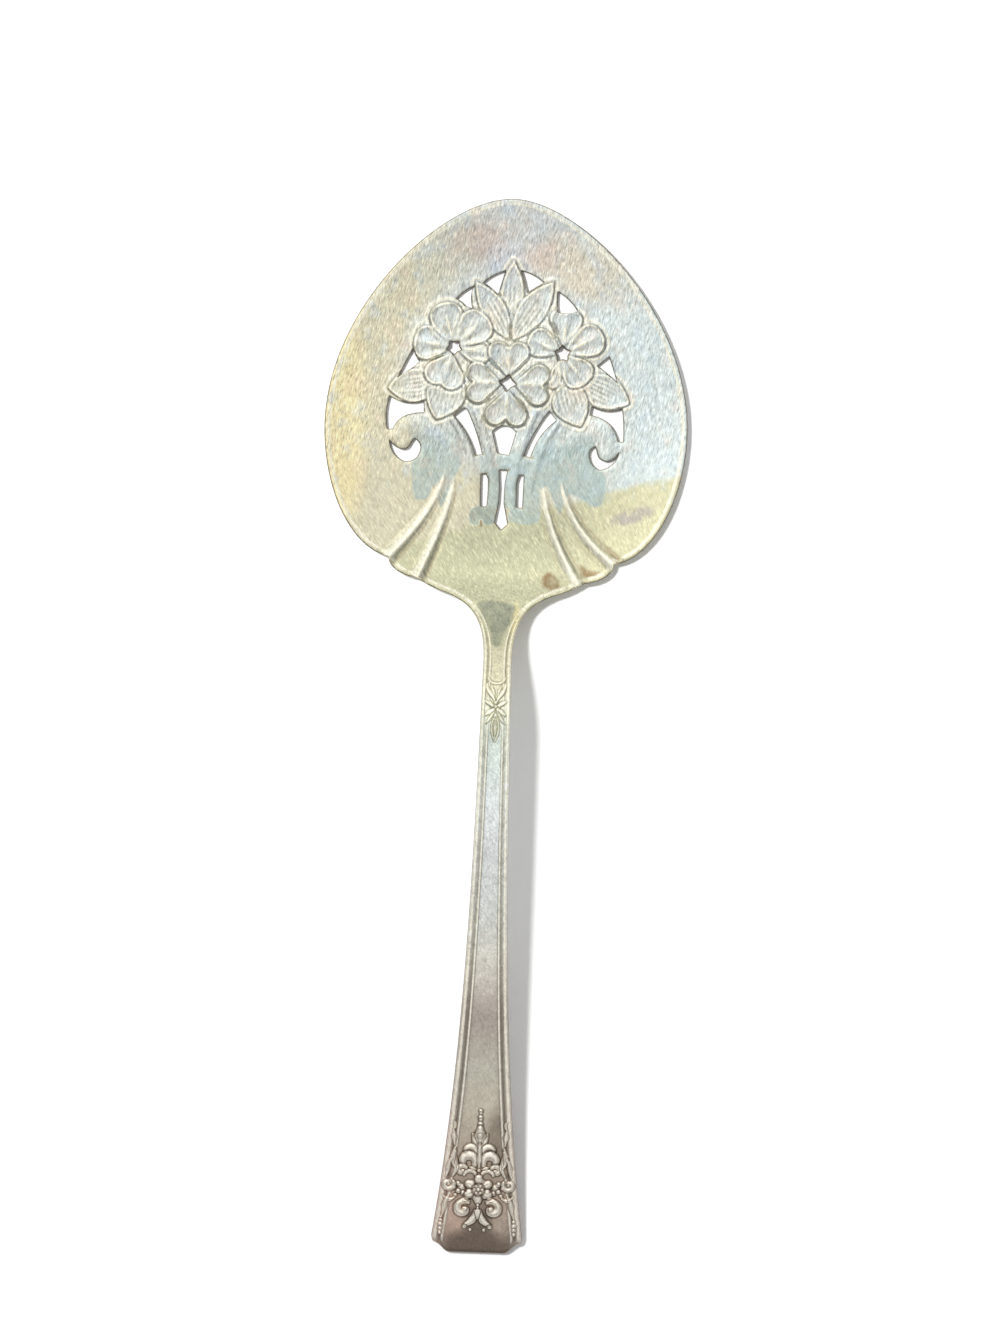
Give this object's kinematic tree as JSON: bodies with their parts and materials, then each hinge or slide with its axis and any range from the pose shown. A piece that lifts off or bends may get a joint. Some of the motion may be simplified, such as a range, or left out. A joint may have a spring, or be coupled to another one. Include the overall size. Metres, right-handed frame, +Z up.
{
  "type": "tomato server",
  "caption": "Pierced tomato server in worn silver plate: broad egg-shaped blade with a raised flower bouquet, fluted shoulder, arched neck and a long moulded handle.",
  "frame": {"origin": "on the underside, on the middle line of the blade, in the middle of its flat, 2.5 mm ahead of the line where the blade is widest", "axes": "+Y to the tip of the blade, +Z up out of the decorated face, +X to the right seen from above with the blade away from the viewer"},
  "size_m": [0.0688, 0.1999, 0.0165],
  "materials": {
    "plate": "worn silver plate, fine scratches, light yellow and grey tarnish"
  },
  "bodies": {
    "root": {"server": "plate"}
  },
  "joints": []
}
